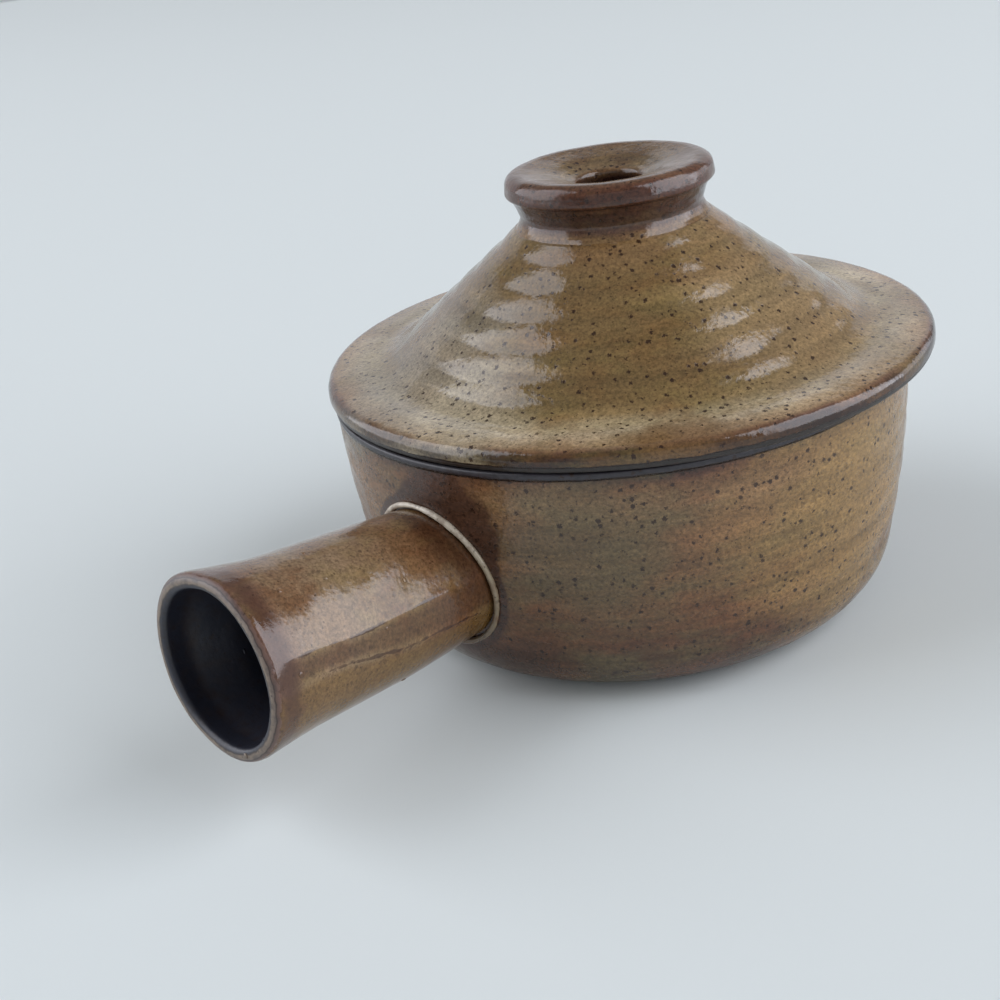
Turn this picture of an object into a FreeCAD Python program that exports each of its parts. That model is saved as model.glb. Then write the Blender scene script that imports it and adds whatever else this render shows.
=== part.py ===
"""Lidded stoneware pot with a hollow stick handle, as a parametric FreeCAD document.

Millimetres. The origin is the centre of the foot on the pot's axis, +Z is up and the handle points
along +X. The lid, its ring and its knob are drawn with their heights counted from the rim, where the
lid sits.
"""

import os
from enum import IntEnum

import FreeCAD, Part
import Sketcher

SIZES = {
    # bowl: a wall that stands upright at the rim and curves in to a rounded heel
    "rim_radius": 75.4,
    "rim_height": 65.7,
    "side_radius": 244.0,
    "heel_radius": 18.0,
    "bowl_wall": 4.5,
    "floor_thickness": 5.5,
    "inner_heel_radius": 13.0,
    "rim_rounding": 1.4,
    # handle: a tube that flares to a rounded mouth, with an axis that tips up towards the mouth
    "handle_reach": 137.0,
    "mouth_height": 39.8,
    "handle_tilt": 5.6,
    "mouth_radius": 22.0,
    "flare_length": 17.0,
    "flare_curve": 60.0,
    "handle_neck_radius": 20.2,
    "handle_root_radius": 18.0,
    "handle_wall": 4.0,
    "mouth_rounding": 1.7,
    # coil of clay that seals the handle to the wall
    "coil_width": 3.4,
    "coil_height": 2.4,
    "coil_rounding": 1.0,
    # lid: a flat flange, then a cone up to a flat crown under the knob
    "lid_overhang": 4.6,
    "flange_width": 16.4,
    "lid_edge_height": 6.2,
    "lid_edge_rounding": 3.4,
    "lid_seat_rounding": 0.7,
    "cone_turn_radius": 13.0,
    "crown_radius": 25.3,
    "crown_height": 37.1,
    "crown_thickness": 5.5,
    "crown_inner_rounding": 6.0,
    "lid_wall": 5.0,
    "lid_off_centre": 4.0,
    # locating ring under the flange
    "ring_play": 1.0,
    "ring_width": 4.0,
    "ring_depth": 7.0,
    "ring_rounding": 1.2,
    # knob: a short neck, a ledge, a rim band and a dished top with a finger well
    "knob_radius": 27.1,
    "knob_height": 51.3,
    "knob_band": 5.6,
    "knob_ledge": 1.6,
    "knob_ledge_height": 0.9,
    "knob_neck_radius": 23.8,
    "knob_neck_height": 38.4,
    "knob_neck_rounding": 2.5,
    "knob_crest_width": 3.6,
    "knob_crest_rounding": 1.7,
    "dish_depth": 3.5,
    "dish_curve": 30.0,
    "well_radius": 8.0,
    "well_depth": 8.5,
    "well_rounding": 1.2,
}

doc = FreeCAD.newDocument("lidded_pot")
sheet = doc.addObject("Spreadsheet::Sheet", "Sizes")
for row, (alias, size) in enumerate(SIZES.items(), start=1):
    sheet.set(f"A{row}", alias)
    sheet.set(f"B{row}", str(size))
    sheet.setAlias(f"B{row}", alias)
doc.recompute()

TOUCHING = 1e-4
CREST_SHARE = 0.9
HANDLE_LENGTH = "Sizes.handle_reach - Sizes.rim_radius / 2"
LID_RADIUS = "(Sizes.rim_radius + Sizes.lid_overhang)"
CONE_FOOT_RADIUS = f"({LID_RADIUS} - Sizes.flange_width)"


class Axis(IntEnum):
    """A sketch's own lines, as constraints number them."""

    LEVEL = -1
    UPRIGHT = -2


class End(IntEnum):
    """The ends of a sketch's edge, as constraints number them."""

    START = 1
    END = 2


def value(owner, formula):
    """A formula of the sheet's sizes as a number."""
    found = owner.evalExpression(formula)
    return float(getattr(found, "Value", found))


def body(name):
    """A new body whose label names its piece."""
    piece = doc.addObject("PartDesign::Body", name)
    piece.Label = name
    return piece


def place_corner(sketch, edge, end, corner):
    """Tie an edge's end to a corner's two formulas, or to an axis where a formula is zero."""
    for formula, kind, axis in zip(corner, ("DistanceX", "DistanceY"), (Axis.UPRIGHT, Axis.LEVEL)):
        if formula == "0":
            sketch.addConstraint(Sketcher.Constraint("PointOnObject", edge, end, axis))
            continue
        start = value(sketch, formula)
        measure = Sketcher.Constraint(kind, Axis.LEVEL, End.START, edge, end, start)
        index = sketch.addConstraint(measure)
        sketch.setExpression(f"Constraints[{index}]", formula)


def outline(piece, name, corners, arcs=None):
    """Draw a closed outline on a body's XZ plane, through corners given as (across, up) formulas.

    arcs maps the number of an edge to its radius formula and its side: an arc bulges to the right of the
    way from corner to corner for +1, and to the left for -1. Every other edge is straight.
    """
    sketch = piece.newObject("Sketcher::SketchObject", name)
    plane = next(p for p in piece.Origin.OriginFeatures if p.Role == "XZ_Plane")
    sketch.AttachmentSupport = [(plane, "")]
    sketch.MapMode = "FlatFace"
    points = [FreeCAD.Vector(value(sketch, x), value(sketch, z), 0) for x, z in corners]
    ends = []
    for number, first in enumerate(points):
        last = points[(number + 1) % len(points)]
        if number not in (arcs or {}):
            edge = sketch.addGeometry(Part.LineSegment(first, last))
            ends.append((edge, End.START, End.END))
            continue
        formula, side = arcs[number]
        radius = value(sketch, formula)
        chord = last - first
        bulge = radius - (radius**2 - (chord.Length / 2) ** 2) ** 0.5
        right = FreeCAD.Vector(chord.y, -chord.x, 0).normalize()
        edge = sketch.addGeometry(Part.Arc(first, (first + last) / 2 + right * bulge * side, last))
        forwards = sketch.getPoint(edge, End.START).distanceToPoint(first) < TOUCHING
        ends.append((edge, End.START, End.END) if forwards else (edge, End.END, End.START))
        index = sketch.addConstraint(Sketcher.Constraint("Radius", edge, radius))
        sketch.setExpression(f"Constraints[{index}]", formula)
    for number, (edge, first_end, _) in enumerate(ends):
        before, _, last_end = ends[number - 1]
        sketch.addConstraint(Sketcher.Constraint("Coincident", before, last_end, edge, first_end))
        place_corner(sketch, edge, first_end, corners[number])
    doc.recompute()
    return sketch


def turn(piece, sketch, name, axis="V_Axis", cut=False):
    """Turn an outline about an axis of its sketch, to add to the body or to cut from it."""
    feature = piece.newObject("PartDesign::Groove" if cut else "PartDesign::Revolution", name)
    feature.Profile = sketch
    feature.ReferenceAxis = (sketch, [axis])
    feature.Angle = 360
    sketch.Visibility = False
    doc.recompute()
    return feature


def round_rings(piece, name, size, rings, axis=(0, 0, 1)):
    """Round the circular edges of a turned body that lie at these (radius, height along axis) formulas."""
    base = piece.Tip
    along = FreeCAD.Vector(*axis)
    chosen = []
    for radius, height in rings:
        wanted = value(piece, radius), value(piece, height)
        for number, edge in enumerate(base.Shape.Edges, start=1):
            circle = edge.Curve
            if not isinstance(circle, Part.Circle):
                continue
            found = circle.Radius, circle.Center.dot(along)
            if max(abs(here - there) for here, there in zip(found, wanted)) < TOUCHING:
                chosen.append(f"Edge{number}")
    if len(chosen) < len(rings):
        raise ValueError(f"{piece.Label}: {name} finds {len(chosen)} of {len(rings)} edges")
    feature = piece.newObject("PartDesign::Fillet", name)
    feature.Base = (base, chosen)
    feature.setExpression("Radius", size)
    doc.recompute()
    return feature


def wall_radius(grown, height):
    """The radius, at a height, of the bowl's outer side grown outwards by a formula."""
    return (
        f"Sizes.rim_radius - Sizes.side_radius"
        f" + sqrt((Sizes.side_radius + {grown})^2 - (Sizes.rim_height - {height})^2)"
    )


def wall_outline(piece, name, grown, bottom):
    """The half section inside the bowl's side, grown outwards by a formula, from a bottom to the rim."""
    corners = [
        ("0", bottom),
        (wall_radius(grown, bottom), bottom),
        (f"Sizes.rim_radius + {grown}", "Sizes.rim_height"),
        ("0", "Sizes.rim_height"),
    ]
    return outline(piece, name, corners, {1: (f"Sizes.side_radius + {grown}", 1)})


def pot_form(name, grown="0"):
    """A full solid under the bowl's outer side, grown outwards by a formula, with a sharp heel."""
    piece = body(name)
    turn(piece, wall_outline(piece, f"{name}_outline", grown, "0"), f"{name}_turned")
    return piece


def round_heel(piece):
    """Round the heel of a full form of the bowl."""
    round_rings(piece, f"{piece.Label}_heel", "Sizes.heel_radius", [(wall_radius("0", "0"), "0")])


def turn_seam_away(piece):
    """Turn a form half round, so that the line where it closes lies away from the handle."""
    piece.Placement.Rotation = FreeCAD.Rotation(FreeCAD.Vector(0, 0, 1), 180)
    doc.recompute()


def make_bowl():
    """The thrown bowl: its outer form, hollowed down to the floor, with rounded rim and inner heel."""
    bowl = pot_form("bowl")
    round_heel(bowl)
    inset = "(-Sizes.bowl_wall)"
    inner_floor = "Sizes.floor_thickness"
    turn(bowl, wall_outline(bowl, "hollow_outline", inset, inner_floor), "hollow", cut=True)
    inner_heel = [(wall_radius(inset, inner_floor), inner_floor)]
    round_rings(bowl, "inner_heel", "Sizes.inner_heel_radius", inner_heel)
    rim = [("Sizes.rim_radius", "Sizes.rim_height"), (f"Sizes.rim_radius + {inset}", "Sizes.rim_height")]
    round_rings(bowl, "rim_rounding", "Sizes.rim_rounding", rim)
    return bowl


def put_on_handle_axis(thing, turn_up):
    """Place a thing at the mouth's centre, turned upwards by a formula to lie along the handle's axis."""
    turned = FreeCAD.Rotation(FreeCAD.Vector(0, -1, 0), value(sheet, turn_up))
    thing.Placement = FreeCAD.Placement(FreeCAD.Vector(0, 0, 0), turned)
    thing.setExpression("Placement.Rotation.Angle", turn_up)
    thing.setExpression("Placement.Base.x", "Sizes.handle_reach")
    thing.setExpression("Placement.Base.z", "Sizes.mouth_height")


def handle_form(name, hollow):
    """The handle's turned form, from its mouth to well inside the bowl's wall, as a tube or a full rod."""
    piece = body(name)
    inner_end = f"-({HANDLE_LENGTH})"
    flare_end = "-Sizes.flare_length"
    corners = [
        ("0", "Sizes.mouth_radius"),
        (flare_end, "Sizes.handle_neck_radius"),
        (inner_end, "Sizes.handle_root_radius"),
    ]
    arcs = {0: ("Sizes.flare_curve", 1)}
    if hollow:
        corners += [(x, f"{radius} - Sizes.handle_wall") for x, radius in reversed(corners)]
        arcs[4] = ("Sizes.flare_curve", -1)
    else:
        corners += [(inner_end, "0"), ("0", "0")]
    turn(piece, outline(piece, f"{name}_outline", corners, arcs), f"{name}_turned", axis="H_Axis")
    if hollow:
        lips = [("Sizes.mouth_radius", "0"), ("Sizes.mouth_radius - Sizes.handle_wall", "0")]
        round_rings(piece, "mouth_lips", "Sizes.mouth_rounding", lips, axis=(1, 0, 0))
    put_on_handle_axis(piece, "Sizes.handle_tilt")
    return piece


def boolean(kind, name, base, tool):
    """A Part boolean of two solids."""
    result = doc.addObject(kind, name)
    result.Label = name
    result.Base = base
    result.Tool = tool
    doc.recompute()
    return result


def make_handle(wall):
    """The handle's tube, cut to the curve of the wall that closes its inner end."""
    return boolean("Part::Cut", "handle", handle_form("handle_tube", hollow=True), wall)


def round_crest(piece, wall, height, size):
    """Round the edges of a piece that stand, all but a little, a height proud of the wall."""
    base = piece.Tip
    proud = CREST_SHARE * value(piece, height)
    crest = []
    for number, edge in enumerate(base.Shape.Edges, start=1):
        middle = edge.valueAt((edge.FirstParameter + edge.LastParameter) / 2)
        if wall.Shape.distToShape(Part.Vertex(middle))[0] > proud:
            crest.append(f"Edge{number}")
    feature = piece.newObject("PartDesign::Fillet", f"{piece.Label}_crest")
    feature.Base = (base, crest)
    feature.setExpression("Radius", size)
    doc.recompute()


def make_coil(wall):
    """The coil round the handle's root: a rounded ridge that follows the curve of the wall."""
    rod = doc.addObject("Part::Cylinder", "coil_rod")
    rod.setExpression("Radius", "Sizes.handle_root_radius + Sizes.coil_width")
    rod.setExpression("Height", HANDLE_LENGTH)
    put_on_handle_axis(rod, "90 + Sizes.handle_tilt")
    raised = pot_form("raised_form", "Sizes.coil_height")
    turn_seam_away(raised)
    ridge = boolean("Part::Common", "coil_ridge", raised, rod)
    outside = boolean("Part::Cut", "coil_outside_wall", ridge, wall)
    blank = boolean("Part::Cut", "coil_blank", outside, handle_form("handle_rod", hollow=False))
    coil = body("handle_coil")
    coil.BaseFeature = blank
    doc.recompute()
    round_crest(coil, wall, "Sizes.coil_height", "Sizes.coil_rounding")
    return coil


def put_on_rim(thing):
    """Place a thing drawn from the lid's seat on the rim, where the lid lies a little off centre."""
    thing.setExpression("Placement.Base.x", "-Sizes.lid_off_centre")
    thing.setExpression("Placement.Base.z", "Sizes.rim_height")


def make_lid():
    """The lid's shell: a flange with a rounded edge and a cone of even wall under a flat crown."""
    lid = body("lid")
    run = f"({CONE_FOOT_RADIUS} - Sizes.crown_radius)"
    rise = "(Sizes.crown_height - Sizes.lid_edge_height)"
    wall_across = f"Sizes.lid_wall * sqrt({run}^2 + {rise}^2) / {rise}"
    mouth_radius = f"{CONE_FOOT_RADIUS} + Sizes.lid_edge_height * {run} / {rise} - {wall_across}"
    crown_inside = f"Sizes.crown_radius + Sizes.crown_thickness * {run} / {rise} - {wall_across}"
    crown_underside = "Sizes.crown_height - Sizes.crown_thickness"
    corners = [
        (mouth_radius, "0"),
        (LID_RADIUS, "0"),
        (LID_RADIUS, "Sizes.lid_edge_height"),
        (CONE_FOOT_RADIUS, "Sizes.lid_edge_height"),
        ("Sizes.crown_radius", "Sizes.crown_height"),
        ("0", "Sizes.crown_height"),
        ("0", crown_underside),
        (crown_inside, crown_underside),
    ]
    turn(lid, outline(lid, "lid_outline", corners), "lid_turned")
    round_rings(lid, "cone_turn", "Sizes.cone_turn_radius", [corners[3]])
    round_rings(lid, "lid_edge", "Sizes.lid_edge_rounding", [corners[2]])
    round_rings(lid, "lid_seat_edge", "Sizes.lid_seat_rounding", [corners[1]])
    round_rings(lid, "crown_inside", "Sizes.crown_inner_rounding", [corners[7]])
    put_on_rim(lid)
    return lid


def make_ring():
    """The locating ring: it hangs inside the rim, clear of it all round with the lid off centre."""
    ring = body("lid_ring")
    outer = "Sizes.rim_radius - Sizes.bowl_wall - Sizes.lid_off_centre - Sizes.ring_play"
    inner = f"{outer} - Sizes.ring_width"
    lower = "-Sizes.ring_depth"
    corners = [(inner, lower), (outer, lower), (outer, "0"), (inner, "0")]
    turn(ring, outline(ring, "ring_outline", corners), "ring_turned")
    round_rings(ring, "ring_edges", "Sizes.ring_rounding", corners[:2])
    put_on_rim(ring)
    return ring


def make_knob():
    """The knob: it stands on the crown and carries on the cone's slope up to its neck."""
    knob = body("knob")
    band_foot = "Sizes.knob_height - Sizes.knob_band"
    dish_floor = "Sizes.knob_height - Sizes.dish_depth"
    well_floor = f"{dish_floor} - Sizes.well_depth"
    corners = [
        ("0", "Sizes.crown_height"),
        ("Sizes.crown_radius", "Sizes.crown_height"),
        ("Sizes.knob_neck_radius", "Sizes.knob_neck_height"),
        ("Sizes.knob_radius - Sizes.knob_ledge", f"{band_foot} - Sizes.knob_ledge_height"),
        ("Sizes.knob_radius", band_foot),
        ("Sizes.knob_radius", "Sizes.knob_height"),
        ("Sizes.knob_radius - Sizes.knob_crest_width", "Sizes.knob_height"),
        ("Sizes.well_radius", dish_floor),
        ("Sizes.well_radius", well_floor),
        ("0", well_floor),
    ]
    turn(knob, outline(knob, "knob_outline", corners, {6: ("Sizes.dish_curve", 1)}), "knob_turned")
    round_rings(knob, "knob_neck", "Sizes.knob_neck_rounding", [corners[2]])
    round_rings(knob, "knob_crest", "Sizes.knob_crest_rounding", [corners[5]])
    softened = [corners[4], corners[6], corners[7], corners[8]]
    round_rings(knob, "knob_softened", "Sizes.well_rounding", softened)
    put_on_rim(knob)
    return knob


bowl = make_bowl()
wall = pot_form("wall_form")
round_heel(wall)
turn_seam_away(wall)
pieces = [bowl, make_handle(wall), make_coil(wall), make_lid(), make_ring(), make_knob()]
doc.recompute()

for thing in doc.Objects:
    if {"Invalid", "Error"} & set(thing.State):
        raise RuntimeError(f"{thing.Label} is {thing.State}")

os.makedirs("parts", exist_ok=True)
for piece in pieces:
    shape = piece.Shape
    if shape.isNull() or not shape.isValid() or len(shape.Solids) != 1:
        raise RuntimeError(f"{piece.Label} has no valid single solid")
    shape.exportStep(f"parts/{piece.Label}.step")
    print(f"{piece.Label}: {shape.Volume:.0f} mm3")
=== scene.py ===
"""Looks of a lidded stoneware pot with a hollow stick handle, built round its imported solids.

Metres, in the solids' frame: the pot's axis is +Z, its foot stands at zero and the handle points along
+X. Forms and glazes are laid out in millimetres and turned to metres as they are made.
"""

import math

import bmesh
import bpy
from mathutils import Matrix, Vector


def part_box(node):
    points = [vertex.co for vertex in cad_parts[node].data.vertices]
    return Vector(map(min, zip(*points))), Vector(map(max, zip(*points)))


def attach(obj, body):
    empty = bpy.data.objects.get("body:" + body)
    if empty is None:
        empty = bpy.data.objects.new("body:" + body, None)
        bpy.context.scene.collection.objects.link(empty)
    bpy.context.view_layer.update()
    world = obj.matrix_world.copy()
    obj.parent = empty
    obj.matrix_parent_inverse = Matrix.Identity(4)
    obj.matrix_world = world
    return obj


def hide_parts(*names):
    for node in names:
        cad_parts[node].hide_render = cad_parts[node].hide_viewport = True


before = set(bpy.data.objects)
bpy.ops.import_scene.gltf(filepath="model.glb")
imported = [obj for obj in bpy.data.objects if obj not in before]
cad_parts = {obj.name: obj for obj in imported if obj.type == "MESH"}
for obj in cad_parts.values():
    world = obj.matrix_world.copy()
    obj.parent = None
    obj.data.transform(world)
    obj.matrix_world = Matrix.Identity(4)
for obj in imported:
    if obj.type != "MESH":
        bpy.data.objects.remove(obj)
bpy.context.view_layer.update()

MM = 0.001
# In millimetres: a section has a point at least every turned step, and points closer than a merged step
# are one. A turned form has this many columns round its axis, and fewer where its section is long, so that
# a mesh stays under 200,000 triangles.
TURNED_STEP = 0.75
MERGED_STEP = TURNED_STEP / 20
COLUMNS = 300
BOWL_COLUMNS = 270
HANDLE_COLUMNS = 220
SQUARE_CM_IN_A_SQUARE_METRE = 10000
# For spans without an end, and for a height in millimetres over every piece.
ENDLESS = math.inf
ABOVE_ALL = 200


def mm_box(name):
    """A solid's lowest and highest corner, in millimetres."""
    low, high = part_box(name)
    return low / MM, high / MM


# Places and sizes read from the solids, in millimetres.
_, BOWL_HIGH = mm_box("bowl")
LID_LOW, LID_HIGH = mm_box("lid")
RING_LOW, RING_HIGH = mm_box("lid_ring")
KNOB_LOW, KNOB_HIGH = mm_box("knob")
RIM_RADIUS = BOWL_HIGH.x
RIM_HEIGHT = BOWL_HIGH.z
LID_X = (LID_LOW.x + LID_HIGH.x) / 2
LID_RADIUS = (LID_HIGH.x - LID_LOW.x) / 2
CROWN_HEIGHT = LID_HIGH.z
RING_RADIUS = (RING_HIGH.x - RING_LOW.x) / 2
KNOB_RADIUS = (KNOB_HIGH.x - KNOB_LOW.x) / 2
KNOB_TOP = KNOB_HIGH.z

# The pot's own sizes, in millimetres, as it is thrown.
SIDE_CURVE = 244
HEEL_CURVE = 18
BOWL_WALL = 4.5
BOWL_FLOOR = 5.5
INNER_HEEL_CURVE = 13
EDGE_HEIGHT = RIM_HEIGHT + 6.2
CONE_FOOT = LID_RADIUS - 16.4
CROWN_RADIUS = 25.3
LID_WALL = 5
CROWN_THICKNESS = 5.5
HANDLE_REACH = 137
MOUTH_HEIGHT = 39.8
HANDLE_TILT = math.radians(5.6)
MOUTH_RADIUS = 22
NECK_RADIUS = 20.2
FLARE = 17
ROOT_RADIUS = 18
HANDLE_WALL = 4
LIP = 4.7
HANDLE_BURIED = 75
HANDLE_SET_IN = 1.5
RING_WIDTH = 4
RING_SET_IN = 0.5
WELL_RADIUS = 8
WELL_DEPTH = 12

# The bare bands at the seam, and how much thinner the clay is there than under its glaze, in millimetres.
LID_BAND = 1.5
RIM_BAND = 1.5
BARE_STEP = 0.3
RIM_STEP = 0.25

LID_FRAME = Matrix.Translation((LID_X * MM, 0, 0))

# Noise seldom leaves this span, so it is stretched from here to the range that is wanted.
NOISE_SPAN = {"From Min": 0.3, "From Max": 0.7}


# --- small helpers --------------------------------------------------------------------------------


def linear(hex_colour):
    """An sRGB hex colour as the linear RGBA that a socket takes."""
    parts = [int(hex_colour[place:place + 2], 16) / 255 for place in (1, 3, 5)]
    return (*(p / 12.92 if p <= 0.04045 else ((p + 0.055) / 1.055) ** 2.4 for p in parts), 1)


def add(tree, kind, feeds=None, stops=None, **settings):
    """Add a node: feeds maps its sockets to values, nodes or sockets, and stops fills its colour ramp."""
    made = tree.nodes.new(kind)
    for name, setting in settings.items():
        setattr(made, name, setting)
    for socket, feed in (feeds or {}).items():
        if isinstance(feed, bpy.types.Node):
            feed = next(out for out in feed.outputs if out.enabled)
        if isinstance(feed, bpy.types.NodeSocket):
            tree.links.new(feed, made.inputs[socket])
        else:
            made.inputs[socket].default_value = feed
    if stops:
        elements = made.color_ramp.elements
        while len(elements) < len(stops):
            elements.new(1)
        for element, (position, colour) in zip(elements, sorted(stops.items())):
            element.position = position
            element.color = linear(colour)
    return made


def swell(value, first, last, soft):
    """One inside a span and zero outside it, with soft ends."""
    rise = min(max((value - first) / soft, 0), 1)
    fall = min(max((last - value) / soft, 0), 1)
    return (3 - 2 * rise) * rise**2 * (3 - 2 * fall) * fall**2


def put_on_show(mesh, node, body):
    """Link a finished mesh as a piece that stands for a solid and rides on its body."""
    piece = bpy.data.objects.new(mesh.name, mesh)
    bpy.context.scene.collection.objects.link(piece)
    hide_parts(node)
    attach(piece, body)


# --- thrown forms ---------------------------------------------------------------------------------


def rounded(corners, closed=False):
    """Points along a half section through (radius, height, rounding) corners, at most a step apart."""
    places = [Vector(corner[:2]) for corner in corners]
    stops = []
    for index, (here, (_, _, rounding)) in enumerate(zip(places, corners)):
        if rounding == 0:
            stops.append(here)
            continue
        back = (places[index - 1] - here).normalized()
        ahead = (places[(index + 1) % len(places)] - here).normalized()
        half = back.angle(ahead) / 2
        centre = here + (back + ahead).normalized() * rounding / math.sin(half)
        first = here + back * rounding / math.tan(half) - centre
        last = here + ahead * rounding / math.tan(half) - centre
        turn = math.pi - 2 * half
        bends = max(3, math.ceil(rounding * turn / TURNED_STEP))
        for bend in range(bends + 1):
            share = bend / bends
            lean = first * math.sin((1 - share) * turn) + last * math.sin(share * turn)
            stops.append(centre + lean / math.sin(turn))
    points = []
    for index, here in enumerate(stops if closed else stops[:-1]):
        there = stops[(index + 1) % len(stops)]
        if (there - here).length < MERGED_STEP:
            continue
        runs = max(1, math.ceil((there - here).length / TURNED_STEP))
        points += [here.lerp(there, run / runs) for run in range(runs)]
    return points if closed else [*points, stops[-1]]


def turned(name, points, marks, closed=False, columns=COLUMNS):
    """A mesh turned about the Z axis from a half section in millimetres.

    Each point keeps how far along the section it lies, and the number that each mark gives it. Marks map a
    name to a function of the point's place in millimetres.
    """
    made = bmesh.new()
    along_layer = made.verts.layers.float.new("along")
    layers = [(made.verts.layers.float.new(mark), measure) for mark, measure in marks.items()]
    rows = []
    along = 0
    for index, point in enumerate(points):
        along += (point - points[index - 1]).length if index else 0
        row = []
        for column in range(1 if point.x < MERGED_STEP else columns):
            angle = 2 * math.pi * column / columns
            place = Vector((point.x * math.cos(angle), point.x * math.sin(angle), point.y))
            corner = made.verts.new(place * MM)
            corner[along_layer] = along
            for layer, measure in layers:
                corner[layer] = measure(place)
            row.append(corner)
        rows.append(row)
    for low, high in zip(rows, rows[1:] + rows[:1] if closed else rows[1:]):
        for column in range(columns):
            after = (column + 1) % columns
            near = [low[column % len(low)], low[after % len(low)]]
            far = [high[after % len(high)], high[column % len(high)]]
            made.faces.new(list(dict.fromkeys(near + far)))
    return closed_mesh(name, made)


def closed_mesh(name, made):
    """A smooth mesh of a closed form, with its faces turned outwards."""
    bmesh.ops.recalc_face_normals(made, faces=made.faces)
    if made.calc_volume(signed=True) < 0:
        bmesh.ops.reverse_faces(made, faces=made.faces)
    for face in made.faces:
        face.smooth = True
    mesh = bpy.data.meshes.new(name)
    made.to_mesh(mesh)
    made.free()
    return mesh


def new_tree(name, inputs):
    """An empty tree of geometry nodes with named inputs, and its input sockets."""
    tree = bpy.data.node_groups.new(name, "GeometryNodeTree")
    tree.interface.new_socket("Geometry", in_out="OUTPUT", socket_type="NodeSocketGeometry")
    for label, kind in {"Geometry": "Geometry", **inputs}.items():
        tree.interface.new_socket(label, in_out="INPUT", socket_type=f"NodeSocket{kind}")
    return tree, add(tree, "NodeGroupInput").outputs


def finish_tree(tree, geometry, finish):
    """End a tree with real geometry in its finish."""
    real = add(tree, "GeometryNodeRealizeInstances", {"Geometry": geometry})
    dressed = add(tree, "GeometryNodeSetMaterial", {"Geometry": real, "Material": finish})
    add(tree, "NodeGroupOutput", {0: dressed})
    return tree


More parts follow.
